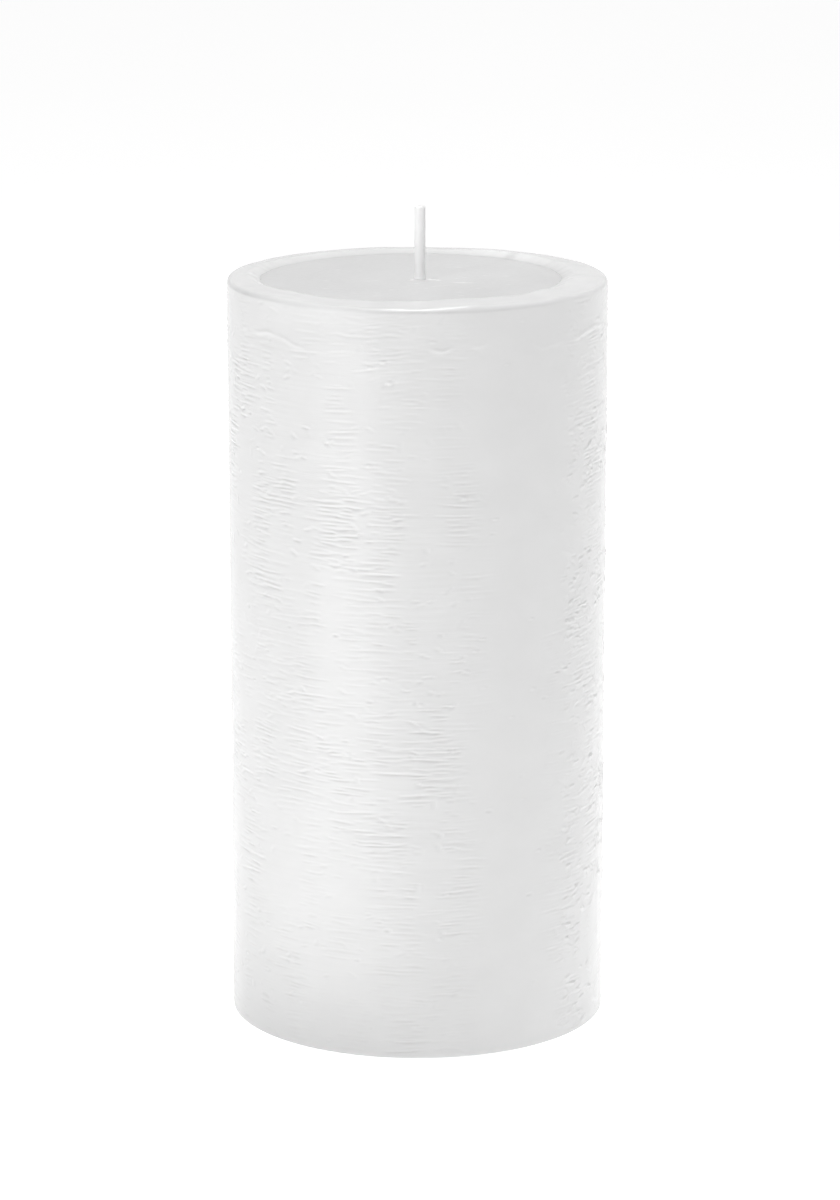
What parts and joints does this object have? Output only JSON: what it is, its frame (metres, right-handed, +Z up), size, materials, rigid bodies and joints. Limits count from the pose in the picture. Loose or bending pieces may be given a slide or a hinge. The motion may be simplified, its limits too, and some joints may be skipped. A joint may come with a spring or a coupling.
{
  "type": "unity candle",
  "caption": "Upright white pillar candle with a brushed satin side, a shallow dished top and a straight waxed wick.",
  "frame": {"origin": "centre of the base, on the rest face", "axes": "+Z up along the candle and its wick; +X to the right and -Y towards the viewer of the front"},
  "size_m": [0.0762, 0.0762, 0.1666],
  "materials": {
    "wax_coat": "satin",
    "wax_shell": "satin",
    "wax_core": "satin",
    "wick_wax": "satin",
    "wick_cotton": "matte",
    "clip_steel": "satin"
  },
  "bodies": {
    "root": {"brushed_coat": "wax_coat", "outer_shell": "wax_shell", "core_fill": "wax_core", "wick_wax_coat": "wick_wax", "wick_strand_1": "wick_cotton", "wick_strand_2": "wick_cotton", "wick_strand_3": "wick_cotton", "wick_clip": "clip_steel"}
  },
  "joints": []
}
